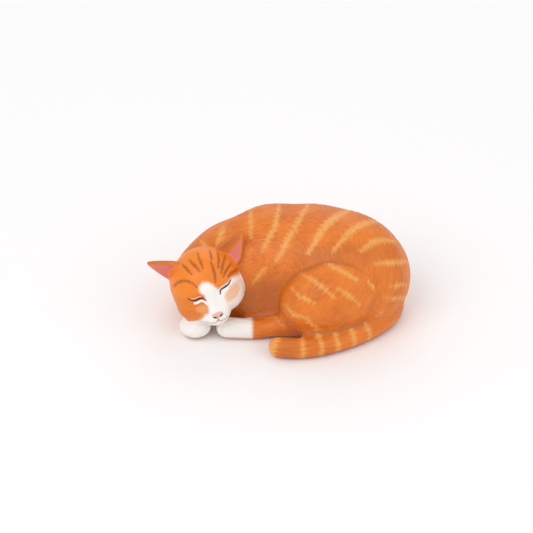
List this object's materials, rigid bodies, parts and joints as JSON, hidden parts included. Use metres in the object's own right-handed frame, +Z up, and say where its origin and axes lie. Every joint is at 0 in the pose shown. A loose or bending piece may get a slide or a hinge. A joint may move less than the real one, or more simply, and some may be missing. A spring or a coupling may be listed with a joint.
{
  "type": "ceramic cat figurine",
  "caption": "Sleeping curled cat figurine in hand-painted glazed ceramic, assembled from hollow slip castings on a felt-covered base.",
  "frame": {"origin": "on the surface the figurine stands on, at the middle of the felt's underside", "axes": "+X to the cat's tail side, the viewer's right when facing it; +Y from its front to its back; +Z up"},
  "size_m": [0.1163, 0.0749, 0.0464],
  "materials": {
    "ginger_glaze": "satin glaze over brushed ginger and cream underglaze",
    "face_glaze": "satin glaze over a ginger crown, white blaze and painted closed eyes",
    "ear_glaze": "satin glaze, ginger outside and pink inside",
    "white_sock_glaze": "satin glaze, warm white toes running into ginger",
    "felt": "pressed brown felt"
  },
  "bodies": {
    "root": {"torso": "ginger_glaze", "thigh": "ginger_glaze", "tail": "ginger_glaze", "head": "face_glaze", "ear_left": "ear_glaze", "ear_right": "ear_glaze", "hind_foot": "white_sock_glaze", "front_paw": "white_sock_glaze", "base_felt": "felt"}
  },
  "joints": []
}
